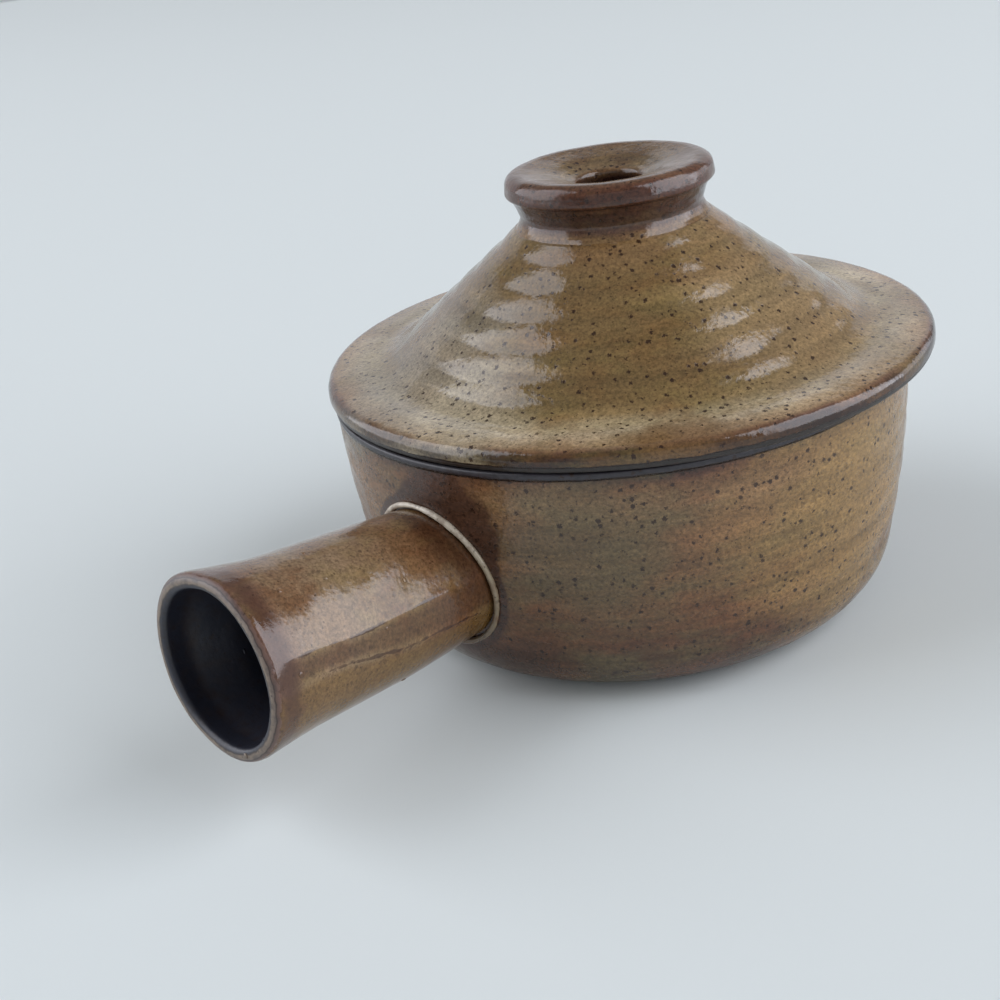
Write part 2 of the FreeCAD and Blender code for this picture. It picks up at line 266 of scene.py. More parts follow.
def throwing_tree():
    """Geometry nodes that leave finger ridges and lumps on a turned form, and now and then a glaze bump.

    Ridges are scallops that climb round the form, as deep as its "grip" mark lets them be. They and the
    lumps only take clay away, so a form never grows.
    """
    tree, given = new_tree(
        "throwing",
        {
            "Ridge spacing": "Float",
            "Ridge depth": "Float",
            "Ridge climb": "Float",
            "Ridge start": "Float",
            "Drift": "Float",
            "Lump depth": "Float",
            "Lump size": "Float",
            "Bumps per square cm": "Float",
            "Seed": "Int",
            "Finish": "Material",
        },
    )
    place = add(tree, "GeometryNodeInputPosition")
    along = add(tree, "GeometryNodeInputNamedAttribute", {"Name": "along"}, data_type="FLOAT")
    grip = add(tree, "GeometryNodeInputNamedAttribute", {"Name": "grip"}, data_type="FLOAT")
    parts = add(tree, "ShaderNodeSeparateXYZ", {0: place})
    angle = add(tree, "ShaderNodeMath", {0: parts.outputs[1], 1: parts.outputs[0]}, operation="ARCTAN2")
    turn = add(tree, "ShaderNodeMath", {0: angle, 1: 2 * math.pi}, operation="DIVIDE")

    drift_size = 45 * MM
    drift_place = add(tree, "ShaderNodeVectorMath", {0: place, "Scale": 1 / drift_size}, operation="SCALE")
    drift = add(
        tree,
        "ShaderNodeTexNoise",
        {"Vector": drift_place, "W": given["Seed"], "Scale": 1, "Detail": 1},
        noise_dimensions="4D",
    )
    climbed = add(
        tree,
        "ShaderNodeMath",
        {0: turn, 1: given["Ridge climb"], 2: given["Ridge start"]},
        operation="MULTIPLY_ADD",
    )
    uneven = add(
        tree, "ShaderNodeMath", {0: drift, 1: given["Drift"], 2: climbed}, operation="MULTIPLY_ADD"
    )
    count = add(tree, "ShaderNodeMath", {0: along, 1: given["Ridge spacing"]}, operation="DIVIDE")
    phase = add(tree, "ShaderNodeMath", {0: count, 1: uneven}, operation="ADD")
    half = add(tree, "ShaderNodeMath", {0: phase, 1: math.pi}, operation="MULTIPLY")
    wave = add(tree, "ShaderNodeMath", {0: half}, operation="SINE")
    # A scallop is the square root of a softened square, and its crest comes to about 1.02.
    square = add(tree, "ShaderNodeMath", {0: wave, 1: wave, 2: 0.05}, operation="MULTIPLY_ADD")
    scallop = add(tree, "ShaderNodeMath", {0: square, 1: 0.5}, operation="POWER")
    hollow = add(tree, "ShaderNodeMath", {0: 1.02, 1: scallop}, operation="SUBTRACT")
    firmness = add(tree, "ShaderNodeMapRange", {"Value": drift, **NOISE_SPAN, "To Min": 1.2, "To Max": 0.5})
    firm_grip = add(tree, "ShaderNodeMath", {0: grip, 1: firmness}, operation="MULTIPLY")
    ridge = add(tree, "ShaderNodeMath", {0: hollow, 1: firm_grip}, operation="MULTIPLY")

    lump_size = add(tree, "ShaderNodeMath", {0: 1 / MM, 1: given["Lump size"]}, operation="DIVIDE")
    lump_place = add(tree, "ShaderNodeVectorMath", {0: place, "Scale": lump_size}, operation="SCALE")
    lump = add(
        tree,
        "ShaderNodeTexNoise",
        {"Vector": lump_place, "W": given["Seed"], "Scale": 1, "Detail": 1.5},
        noise_dimensions="4D",
    )
    lumps = add(tree, "ShaderNodeMath", {0: lump, 1: given["Lump depth"]}, operation="MULTIPLY")
    taken = add(
        tree, "ShaderNodeMath", {0: ridge, 1: given["Ridge depth"], 2: lumps}, operation="MULTIPLY_ADD"
    )
    inwards = add(tree, "ShaderNodeMath", {0: taken, 1: -MM}, operation="MULTIPLY")
    normal = add(tree, "GeometryNodeInputNormal")
    offset = add(tree, "ShaderNodeVectorMath", {0: normal, "Scale": inwards}, operation="SCALE")
    noted = add(
        tree,
        "GeometryNodeStoreNamedAttribute",
        {"Geometry": given["Geometry"], "Name": "groove", "Value": ridge},
        data_type="FLOAT",
        domain="POINT",
    )
    moved = add(tree, "GeometryNodeSetPosition", {"Geometry": noted, "Offset": offset})

    per_square_metre = add(
        tree,
        "ShaderNodeMath",
        {0: given["Bumps per square cm"], 1: SQUARE_CM_IN_A_SQUARE_METRE},
        operation="MULTIPLY",
    )
    spots = add(
        tree,
        "GeometryNodeDistributePointsOnFaces",
        {"Mesh": moved, "Density": per_square_metre, "Seed": given["Seed"]},
    )
    bump = add(tree, "GeometryNodeMeshIcoSphere", {"Radius": 0.6 * MM, "Subdivisions": 3})
    smooth_bump = add(tree, "GeometryNodeSetShadeSmooth", {"Geometry": bump})
    bump_size = add(
        tree,
        "FunctionNodeRandomValue",
        {"Min": (0.5, 0.5, 0.25), "Max": (1.3, 1.3, 0.5), "Seed": given["Seed"]},
        data_type="FLOAT_VECTOR",
    )
    bumps = add(
        tree,
        "GeometryNodeInstanceOnPoints",
        {
            "Points": spots.outputs["Points"],
            "Instance": smooth_bump,
            "Rotation": spots.outputs["Rotation"],
            "Scale": bump_size,
        },
    )
    joined = add(tree, "GeometryNodeJoinGeometry", {"Geometry": bumps})
    tree.links.new(moved.outputs[0], joined.inputs[0])
    return finish_tree(tree, joined, given["Finish"])


THROWING = throwing_tree()


def worked(mesh, tree, **inputs):
    """The plain mesh that a tree of geometry nodes makes of a mesh, with its inputs named by keyword."""
    blank = bpy.data.objects.new(f"{mesh.name}_blank", mesh)
    bpy.context.scene.collection.objects.link(blank)
    maker = blank.modifiers.new("making", "NODES")
    maker.node_group = tree
    for item in tree.interface.items_tree:
        keyword = item.name.lower().replace(" ", "_")
        if item.in_out == "INPUT" and keyword in inputs:
            maker[item.identifier] = inputs[keyword]
    evaluated = blank.evaluated_get(bpy.context.evaluated_depsgraph_get())
    result = bpy.data.meshes.new_from_object(evaluated)
    bpy.data.objects.remove(blank)
    name = mesh.name
    bpy.data.meshes.remove(mesh)
    result.name = name
    return result


# --- glaze: layers --------------------------------------------------------------------------------


def new_finish(name):
    """An empty material, and its tree of nodes."""
    material = bpy.data.materials.new(name)
    material.use_nodes = True
    material.node_tree.nodes.clear()
    return material, material.node_tree


def placed(tree, axis_frame):
    """Millimetre coordinates about a piece's own axis: the place, its radius and its height."""
    coords = add(tree, "ShaderNodeTexCoord")
    there = Matrix.Scale(1 / MM, 4) @ axis_frame.inverted()
    place = add(
        tree,
        "ShaderNodeMapping",
        {
            "Vector": coords.outputs["Object"],
            "Location": there.to_translation(),
            "Rotation": there.to_3x3().normalized().to_euler(),
            "Scale": (1 / MM,) * 3,
        },
    )
    parts = add(tree, "ShaderNodeSeparateXYZ", {0: place})
    flat = add(tree, "ShaderNodeCombineXYZ", {0: parts.outputs[0], 1: parts.outputs[1]})
    radius = add(tree, "ShaderNodeVectorMath", {0: flat}, operation="LENGTH")
    return place, radius.outputs["Value"], parts.outputs[2]


def cloud(tree, place, wide, tall, seed, detail=3, roughness=0.55):
    """Noise whose patches are so many millimetres wide, round the axis, and tall, along it."""
    scaled = add(
        tree,
        "ShaderNodeMapping",
        {"Vector": place, "Location": (seed, -seed, seed), "Scale": (1 / wide, 1 / wide, 1 / tall)},
    )
    return add(
        tree, "ShaderNodeTexNoise", {"Vector": scaled, "Scale": 1, "Detail": detail, "Roughness": roughness}
    )


def zoned(tree, place, across, zones, seed, sway=6):
    """Colour that changes across a piece, with zones in millimetres whose borders sway."""
    drift = cloud(tree, place, 20, 14, seed, detail=4)
    swayed = add(tree, "ShaderNodeMath", {0: drift, 1: sway, 2: across}, operation="MULTIPLY_ADD")
    first, last = min(zones), max(zones)
    share = add(
        tree,
        "ShaderNodeMapRange",
        {"Value": swayed, "From Min": first + sway / 2, "From Max": last + sway / 2},
    )
    stops = {(where - first) / (last - first): colour for where, colour in zones.items()}
    return add(tree, "ShaderNodeValToRGB", {0: share}, stops=stops)


def mottled(tree, place, colour, hue, wide, tall, strength, seed):
    """Cloudy patches of another colour, where the glaze lies thinner or thicker."""
    patches = cloud(tree, place, wide, tall, seed, detail=5, roughness=0.62)
    mask = add(
        tree,
        "ShaderNodeMapRange",
        {"Value": patches, "From Min": 0.44, "From Max": 0.66, "To Max": strength},
        interpolation_type="SMOOTHSTEP",
    )
    return add(tree, "ShaderNodeMix", {"Factor": mask, "A": colour, "B": linear(hue)}, data_type="RGBA")


def patched(tree, place, colour, centre, reach, hue, strength, seed):
    """One cloudy patch of colour about a place, out to a reach in millimetres."""
    near = add(tree, "ShaderNodeVectorMath", {0: place, 1: centre}, operation="DISTANCE")
    ragged = cloud(tree, place, reach * 0.6, reach * 0.3, seed, detail=4)
    edge = add(
        tree,
        "ShaderNodeMath",
        {0: ragged, 1: reach * 1.4, 2: near.outputs["Value"]},
        operation="MULTIPLY_ADD",
    )
    mask = add(
        tree,
        "ShaderNodeMapRange",
        {"Value": edge, "From Min": reach * 1.9, "From Max": reach * 1.1, "To Max": strength},
        interpolation_type="SMOOTHSTEP",
    )
    return add(tree, "ShaderNodeMix", {"Factor": mask, "A": colour, "B": linear(hue)}, data_type="RGBA")


def grained(tree, place, colour, seed, grooves=0.2, bands=0.16, sandy=0.54):
    """Streaks and bands round the axis, grain in the glaze, and darker colour down in the grooves,
    partly thicker glaze and partly painted shade.

    Real grit is about 0.3 mm across. It is drawn about three times as coarse, so that it shows.
    """
    streaks = cloud(tree, place, 26, 1.3, seed, detail=3)
    broad = cloud(tree, place, 55, 4.5, seed + 5, detail=2)
    spread = {**NOISE_SPAN, "To Min": 1 - bands, "To Max": 1 + bands}
    fine = add(tree, "ShaderNodeMapRange", {"Value": streaks, **spread})
    banded = add(tree, "ShaderNodeMapRange", {"Value": broad, **spread})
    streaky = add(tree, "ShaderNodeMath", {0: fine, 1: banded}, operation="MULTIPLY")
    grain = cloud(tree, place, 0.95, 0.8, seed + 3, detail=3, roughness=0.8)
    grainy = add(
        tree,
        "ShaderNodeMapRange",
        {"Value": grain, **NOISE_SPAN, "To Min": 1 - sandy, "To Max": 1 + sandy},
    )
    both = add(tree, "ShaderNodeMath", {0: streaky, 1: grainy}, operation="MULTIPLY")
    # Darker down in the grooves: partly thicker glaze, partly painted shade of the recess.
    groove = add(tree, "ShaderNodeAttribute", attribute_name="groove")
    shade = add(
        tree, "ShaderNodeMath", {0: groove.outputs["Fac"], 1: -grooves, 2: 1}, operation="MULTIPLY_ADD"
    )
    value = add(tree, "ShaderNodeMath", {0: both, 1: shade}, operation="MULTIPLY")
    return add(tree, "ShaderNodeVectorMath", {0: colour, "Scale": value}, operation="SCALE")


def iron_specks(tree, place, spacing, size, share, seed):
    """A mask of iron specks up to a size in millimetres, one in a share of the cells of a spacing."""
    seeded = add(tree, "ShaderNodeVectorMath", {0: place, 1: (seed, seed, seed)}, operation="ADD")
    cells = add(tree, "ShaderNodeTexVoronoi", {"Vector": seeded, "Scale": 1 / spacing, "Randomness": 1})
    lot = add(tree, "ShaderNodeSeparateColor", {0: cells.outputs["Color"]})
    reach = add(
        tree,
        "ShaderNodeMapRange",
        {"Value": lot.outputs[0], "From Min": 1 - share, "To Min": -size / 4, "To Max": size / 2},
    )
    away = add(
        tree,
        "ShaderNodeMath",
        {0: cells.outputs["Distance"], 1: -spacing, 2: reach},
        operation="MULTIPLY_ADD",
    )
    ragged = add(tree, "ShaderNodeTexNoise", {"Vector": seeded, "Scale": 2.4, "Detail": 2})
    inside = add(tree, "ShaderNodeMath", {0: ragged, 1: size, 2: away}, operation="MULTIPLY_ADD")
    return add(
        tree,
        "ShaderNodeMapRange",
        {"Value": inside, "From Min": size * 0.42, "From Max": size * 0.62},
        interpolation_type="SMOOTHSTEP",
    )


def bared(tree, place, height, colour, rough, low, high, clay_hue, seed):
    """Bare vitrified clay between two heights, wiped clean of glaze before the firing.

    It is fine and a little dull, with a dark line of iron where the glaze starts.
    """
    wander = cloud(tree, place, 5, 5, seed, detail=4)
    level = add(tree, "ShaderNodeMath", {0: wander, 1: 1.3, 2: height}, operation="MULTIPLY_ADD")
    # The wandering lifts the level by about 0.65 mm, so both borders are lifted as much.
    masks = []
    line_width = 0.45
    for grow in (0, line_width):
        above = add(
            tree,
            "ShaderNodeMapRange",
            {"Value": level, "From Min": low + 0.5 - grow, "From Max": low + 0.75 - grow},
        )
        below = add(
            tree,
            "ShaderNodeMapRange",
            {"Value": level, "From Min": high + 0.8 + grow, "From Max": high + 0.55 + grow},
        )
        masks.append(add(tree, "ShaderNodeMath", {0: above, 1: below}, operation="MULTIPLY"))
    bare, lined = masks
    iron_hue = linear("#23150f")
    iron = add(tree, "ShaderNodeMix", {"Factor": lined, "A": colour, "B": iron_hue}, data_type="RGBA")
    grain = cloud(tree, place, 1.5, 1.2, seed + 1, detail=5)
    grainy = add(tree, "ShaderNodeMapRange", {"Value": grain, **NOISE_SPAN, "To Min": 0.6, "To Max": 1.3})
    clay = add(tree, "ShaderNodeVectorMath", {0: linear(clay_hue)[:3], "Scale": grainy}, operation="SCALE")
    shown = add(tree, "ShaderNodeMix", {"Factor": bare, "A": iron, "B": clay}, data_type="RGBA")
    dull = add(tree, "ShaderNodeMix", {"Factor": bare, "A": rough, "B": 0.36}, data_type="FLOAT")
    return shown, dull


def glossy(tree, place, seed, low=0.09, high=0.26):
    """A roughness that is glassy where the glaze is thick and a little dull where it is thin."""
    thickness = cloud(tree, place, 6, 4, seed, detail=4)
    return add(
        tree,
        "ShaderNodeMapRange",
        {"Value": thickness, "From Min": 0.35, "From Max": 0.65, "To Min": low, "To Max": high},
    )


def fire(material, tree, place, colour, rough, seed, specks=0.9):
    """Finish a glaze: iron specks that burn through it, an orange-peel skin, and the shader.

    Specks of iron in such clay are 0.5 to 1.5 mm across, so both sizes are drawn true. The skin ripples at
    1.3 and 5 mm, coarser than real orange peel, so that highlights break up. The glaze is glass with some
    iron in it, so its IOR is a little over that of window glass.
    """
    large = iron_specks(tree, place, spacing=1.65, size=1.3, share=0.85, seed=seed)
    small = iron_specks(tree, place, spacing=0.95, size=0.55, share=0.7, seed=seed + 4)
    strong = add(tree, "ShaderNodeMath", {0: large, 1: specks}, operation="MULTIPLY")
    faint = add(tree, "ShaderNodeMath", {0: small, 1: 0.6}, operation="MULTIPLY")
    both = add(tree, "ShaderNodeMath", {0: strong, 1: faint}, operation="MAXIMUM")
    shown = add(
        tree, "ShaderNodeMix", {"Factor": both, "A": colour, "B": linear("#28150b")}, data_type="RGBA"
    )
    peel = cloud(tree, place, 1.3, 1.3, seed + 2, detail=3)
    waves = cloud(tree, place, 5, 5, seed + 6, detail=2)
    skin_height = add(tree, "ShaderNodeMath", {0: waves, 1: 2.5, 2: peel}, operation="MULTIPLY_ADD")
    pitted = add(tree, "ShaderNodeMath", {0: both, 1: -0.2, 2: skin_height}, operation="MULTIPLY_ADD")
    bump = add(tree, "ShaderNodeBump", {"Height": pitted, "Strength": 1, "Distance": 0.06 * MM})
    skin = add(
        tree,
        "ShaderNodeBsdfPrincipled",
        {"Base Color": shown, "Roughness": rough, "Normal": bump, "IOR": 1.55},
    )
    add(tree, "ShaderNodeOutputMaterial", {"Surface": skin})
    return material


# --- glaze: pieces --------------------------------------------------------------------------------


def round_axis(angle, radius, height):
    """A place at an angle in degrees round a piece's axis, at a radius and a height."""
    return (radius * math.cos(math.radians(angle)), radius * math.sin(math.radians(angle)), height)


def lid_glaze():
    """The lid's iron glaze on wheel-thrown stoneware, dipped and reduction fired.

    It runs in the kiln: thick and olive-brown on the cone, pale and milky where it pools on the flange,
    and thin, rusty and dark where it breaks over the edge. It is glassy enough to mirror a window.
    Lighter, greyer patches on the sides towards the two side lights are painted sheen over that colour.
    """
    material, tree = new_finish("iron_speckled_stoneware_glaze_lid")
    place, radius, height = placed(tree, LID_FRAME)
    zones = {
        22: "#7d6240",
        29: "#775d3c",
        34: "#735c39",
        59: "#735c39",
        62.5: "#7c6642",
        66.5: "#a0906f",
        70.5: "#ad9d80",
        74.5: "#a08a6b",
        77.2: "#927859",
        78.5: "#664a3b",
        79.3: "#2e1c16",
    }
    colour = zoned(tree, place, radius, zones, 3, sway=3)
    colour = mottled(tree, place, colour, "#6b5d34", 24, 7, 0.45, 5)
    colour = mottled(tree, place, colour, "#6f4b27", 20, 6, 0.35, 8)
    colour = patched(tree, place, colour, round_axis(50, 77, EDGE_HEIGHT - 1), 14, "#664a2c", 0.75, 2)
    # Painted sheen: the next three lighter, greyer patches lie where the side lights' sheen falls.
    colour = patched(tree, place, colour, round_axis(92, 52, 80), 30, "#937b59", 0.55, 6)
    colour = patched(tree, place, colour, round_axis(-15, 56, 76), 26, "#958c7a", 0.6, 9)
    colour = patched(tree, place, colour, round_axis(6, 68, EDGE_HEIGHT), 20, "#b2a488", 0.6, 12)
    colour = grained(tree, place, colour, 4, sandy=0.46)
    rough = glossy(tree, place, 2, 0.06, 0.18)
    colour, rough = bared(tree, place, height, colour, rough, 0, RIM_HEIGHT + LID_BAND, "#29231f", 7)
    return fire(material, tree, place, colour, rough, 1.7)


def bowl_glaze():
    """The same dipped iron glaze on the bowl, a little duller where it lies thinner.

    It has grey-olive and rust clouds, burns dark round the handle's root, thins at the rim and is darker
    towards the foot.
    """
    material, tree = new_finish("iron_speckled_stoneware_glaze_bowl")
    place, _, height = placed(tree, Matrix())
    zones = {
        0: "#33231d",
        5: "#443022",
        14: "#4d3222",
        28: "#69462b",
        46: "#775738",
        57: "#7c5e40",
        61: "#6a4b31",
        63: "#4c3023",
        65: "#2c1a15",
    }
    colour = zoned(tree, place, height, zones, 13)
    colour = mottled(tree, place, colour, "#666041", 30, 11, 0.45, 15)
    colour = mottled(tree, place, colour, "#6b452b", 20, 9, 0.5, 18)
    colour = patched(tree, place, colour, round_axis(34, 75, 44), 24, "#5f533a", 0.6, 11)
    # Lighter tan towards the right: partly the glaze's own tan, partly painted light from the right-hand
    # light.
    colour = patched(tree, place, colour, round_axis(92, 75, 40), 40, "#886d42", 0.75, 12)
    halo = add(tree, "ShaderNodeAttribute", attribute_name="halo")
    ragged = cloud(tree, place, 5, 5, 16, detail=4)
    edge = add(
        tree, "ShaderNodeMath", {0: ragged, 1: 0.5, 2: halo.outputs["Fac"]}, operation="MULTIPLY_ADD"
    )
    mask = add(
        tree,
        "ShaderNodeMapRange",
        {"Value": edge, "From Min": 0.4, "From Max": 0.7, "To Max": 0.9},
        interpolation_type="SMOOTHSTEP",
    )
    burnt = linear("#41291f")
    colour = add(tree, "ShaderNodeMix", {"Factor": mask, "A": colour, "B": burnt}, data_type="RGBA")
    colour = grained(tree, place, colour, 14, grooves=0.08)
    rough = glossy(tree, place, 12, 0.14, 0.34)
    bared_from = RIM_HEIGHT - RIM_BAND
    colour, rough = bared(tree, place, height, colour, rough, bared_from, ABOVE_ALL, "#2f2c31", 17)
    return fire(material, tree, place, colour, rough, 11.1)


def knob_glaze():
    """The same dipped iron glaze on the knob: burnt dark on the neck, pale and olive where it pools."""
    material, tree = new_finish("iron_speckled_stoneware_glaze_knob")
    place, _, _ = placed(tree, LID_FRAME)
    along = add(tree, "ShaderNodeAttribute", attribute_name="along")
    zones = {
        22: "#7d6240",
        27.5: "#7b6040",
        29: "#54392a",
        30.5: "#402a20",
        35: "#3a251d",
        37: "#492a1d",
        41: "#503123",
        44: "#604835",
        47: "#6e5539",
        53: "#735c3c",
        58: "#7a6649",
        # Painted shade: from the well's lip down into the finger well the colour goes near black.
        60.4: "#553b25",
        62: "#2a1a14",
        71: "#1c120e",
    }
    colour = zoned(tree, place, along.outputs["Fac"], zones, 23, sway=2.5)
    colour = mottled(tree, place, colour, "#6e5330", 9, 4, 0.25, 25)
    colour = mottled(tree, place, colour, "#4a2a1e", 8, 3, 0.4, 28)
    colour = grained(tree, place, colour, 24, bands=0.2)
    return fire(material, tree, place, colour, glossy(tree, place, 22), 21.3)


def handle_frame():
    """The matrix from a form turned about Z, with its mouth at zero, to the handle's place."""
    turn = Matrix.Rotation(math.pi / 2 - HANDLE_TILT, 4, "Y")
    return Matrix.Translation(Vector((HANDLE_REACH, 0, MOUTH_HEIGHT)) * MM) @ turn


def on_handle(angle, behind, radius=20):
    """A place on the handle's own axes: an angle from its top towards +Y, and how far behind the mouth."""
    lean = math.radians(angle)
    return (-radius * math.cos(lean), radius * math.sin(lean), -behind)


def handle_glaze():
    """The same dipped iron glaze on the handle, thick and glassy, with two runs along its side.

    It breaks to rust at the root. Behind the mouth a darker band is partly thin glaze and partly painted
    shade of the hollow behind the lip. The bore and part of the mouth are bare clay; from the lip's inner
    edge into the bore the colour is painted shade, near black and blue-grey.
    """
    material, tree = new_finish("iron_speckled_stoneware_glaze_handle")
    place, _, height = placed(tree, handle_frame())
    zones = {
        -70: "#523420",
        -58: "#68462d",
        -45: "#74573b",
        -28: "#816a50",
        -10: "#7b6248",
        -4: "#65493b",
        0: "#65493b",
    }
    colour = zoned(tree, place, height, zones, 33, sway=8)
    colour = mottled(tree, place, colour, "#7b673f", 12, 18, 0.55, 35)
    colour = mottled(tree, place, colour, "#5e3a1f", 10, 16, 0.65, 38)
    colour = patched(tree, place, colour, on_handle(38, 65), 17, "#462b1b", 0.8, 32)
    between = add(tree, "ShaderNodeAttribute", attribute_name="between_runs")
    thin = add(tree, "ShaderNodeMath", {0: between.outputs["Fac"], 1: 0.7}, operation="MULTIPLY")
    rust = linear("#4a2f1b")
    colour = add(tree, "ShaderNodeMix", {"Factor": thin, "A": colour, "B": rust}, data_type="RGBA")
    below = add(tree, "ShaderNodeAttribute", attribute_name="below_runs")
    pooled = add(tree, "ShaderNodeMath", {0: below.outputs["Fac"], 1: 0.75}, operation="MULTIPLY")
    olive = linear("#654a24")
    colour = add(tree, "ShaderNodeMix", {"Factor": pooled, "A": colour, "B": olive}, data_type="RGBA")
    colour = grained(tree, place, colour, 34, bands=0.05, sandy=0.46)
    ragged = cloud(tree, place, 3, 5, 36, detail=4)
    # The band behind the lip: partly thin glaze, partly painted shade of the hollow behind the rolled lip.
    for mark, first, last, hue in (("run", 1.2, 1.3, "#351e12"), ("behind_lip", 0.5, 1.5, "#462c20")):
        near = add(tree, "ShaderNodeAttribute", attribute_name=mark)
        edge = add(
            tree, "ShaderNodeMath", {0: ragged, 1: 0.7, 2: near.outputs["Fac"]}, operation="MULTIPLY_ADD"
        )
        mask = add(
            tree,
            "ShaderNodeMapRange",
            {"Value": edge, "From Min": first, "From Max": last, "To Max": 0.75},
            interpolation_type="SMOOTHSTEP",
        )
        dark = linear(hue)
        colour = add(tree, "ShaderNodeMix", {"Factor": mask, "A": colour, "B": dark}, data_type="RGBA")
    depth = add(tree, "ShaderNodeAttribute", attribute_name="depth")
    wavy = add(
        tree, "ShaderNodeMath", {0: ragged, 1: 1.2, 2: depth.outputs["Fac"]}, operation="MULTIPLY_ADD"
    )
    wall = add(tree, "ShaderNodeMapRange", {"Value": wavy, "From Min": 0.6, "From Max": LIP + 0.6})
    # From the glaze's edge over the bare mouth and into the bore, as shares of the lip's width.
    inwards = {
        0.1: "#6a4f45",
        0.2: "#604a40",
        0.25: "#2e1e18",
        0.31: "#74655a",
        0.6: "#7f7060",
        # Painted shade: from the lip's inner edge into the bore, near black and blue-grey over the bare
        # clay.
        0.68: "#2b1f1c",
        0.76: "#262833",
    }
    mouth = add(tree, "ShaderNodeValToRGB", {0: wall}, stops=inwards)
    mouth = mottled(tree, place, mouth, "#322b2c", 2.5, 3, 0.5, 39)
    inner = add(tree, "ShaderNodeMapRange", {"Value": wall, "From Min": 0.04, "From Max": 0.12})
    colour = add(tree, "ShaderNodeMix", {"Factor": inner, "A": colour, "B": mouth}, data_type="RGBA")
    gloss = glossy(tree, place, 32, 0.06, 0.2)
    rough = add(tree, "ShaderNodeMix", {"Factor": inner, "A": gloss, "B": 0.42}, data_type="FLOAT")
    return fire(material, tree, place, colour, rough, 31.9, specks=0.35)


def bead_glaze():
    """Dipped glaze that ran and gathered over the coil: thick and milky above, thin and brown below."""
    material, tree = new_finish("pale_pooled_glaze_bead")
    place, _, height = placed(tree, Matrix())
    zones = {14: "#6a5946", 26: "#85765f", 40: "#9b8c73", 50: "#cdc1ad", 57: "#e3dac9"}
    colour = zoned(tree, place, height, zones, 43, sway=5)
    colour = mottled(tree, place, colour, "#6b4a33", 4, 4, 0.5, 45)
    return fire(material, tree, place, colour, glossy(tree, place, 42), 41.5, specks=0.4)


def ring_clay():
    """Bare thrown stoneware, vitrified in the firing: grey-brown, fine-grained and dull."""
    material, tree = new_finish("bare_stoneware_clay")
    place, _, _ = placed(tree, LID_FRAME)
    grain = cloud(tree, place, 1.5, 1.2, 51, detail=5)
    colour = add(tree, "ShaderNodeValToRGB", {0: grain}, stops={0.3: "#3b3330", 0.7: "#5b514c"})
    rough = add(tree, "ShaderNodeMapRange", {"Value": grain, "To Min": 0.4, "To Max": 0.6})
    return fire(material, tree, place, colour, rough, 51.3, specks=0.5)


# --- pieces ---------------------------------------------------------------------------------------


def heel_and_side(rim_radius, side_curve, heel_curve, floor):
    """The two outline corners where a heel and a side of the bowl round off, from their curves."""
    lean = math.asin((RIM_HEIGHT - floor - heel_curve) / (side_curve - heel_curve))
    join_radius = rim_radius - side_curve * (1 - math.cos(lean))
    join_height = RIM_HEIGHT - side_curve * math.sin(lean)
    heel = (join_radius - (join_height - floor) * math.tan(lean), floor, heel_curve)
    side = (rim_radius, join_height + (rim_radius - join_radius) / math.tan(lean), side_curve)
    return heel, side


def halo_round_handle(place):
    """How near, from 0 to 1, a place on the bowl lies to the coil, further up and towards +Y than below."""
    local = handle_frame().inverted() @ (place * MM) / MM
    reach = math.hypot(local.x, local.y) - ROOT_RADIUS
    angle = math.degrees(math.atan2(local.y, -local.x))
    spread = 6 + 16 * swell(angle, -25, 80, 45)
    return swell(reach, -ENDLESS, spread, spread) if place.x > 0 else 0


def make_bowl():
    """The bowl, thrown in one piece, with a bare rim that is left a glaze's thickness thinner."""
    outer_heel, outer_side = heel_and_side(RIM_RADIUS, SIDE_CURVE, HEEL_CURVE, 0)
    inner_heel, inner_side = heel_and_side(
        RIM_RADIUS - BOWL_WALL, SIDE_CURVE - BOWL_WALL, INNER_HEEL_CURVE, BOWL_FLOOR
    )
    section = [
        (0, 0, 0),
        outer_heel,
        outer_side,
        (RIM_RADIUS, RIM_HEIGHT - RIM_BAND - BARE_STEP, 0.2),
        (RIM_RADIUS - RIM_STEP, RIM_HEIGHT - RIM_BAND, 0.2),
        (RIM_RADIUS - RIM_STEP, RIM_HEIGHT, 1.2),
        (RIM_RADIUS - BOWL_WALL, RIM_HEIGHT, 1.2),
        inner_side,
        inner_heel,
        (0, BOWL_FLOOR, 0),
    ]
    marks = {"grip": lambda place: swell(place.z, 9, RIM_HEIGHT - 5, 10), "halo": halo_round_handle}
    mesh = turned("bowl_thrown", rounded(section), marks, columns=BOWL_COLUMNS)
    made = worked(
        mesh,
        THROWING,
        ridge_spacing=9.5,
        ridge_depth=0.27,
        ridge_climb=1.0,
        ridge_start=0.2,
        drift=1.5,
        lump_depth=0.35,
        lump_size=22.0,
        seed=4,
        finish=bowl_glaze(),
    )
    put_on_show(made, "bowl", "pot")


def moved_to_lid(mesh):
    """Move a form turned about Z to the lid's own axis."""
    mesh.transform(LID_FRAME)
    return mesh


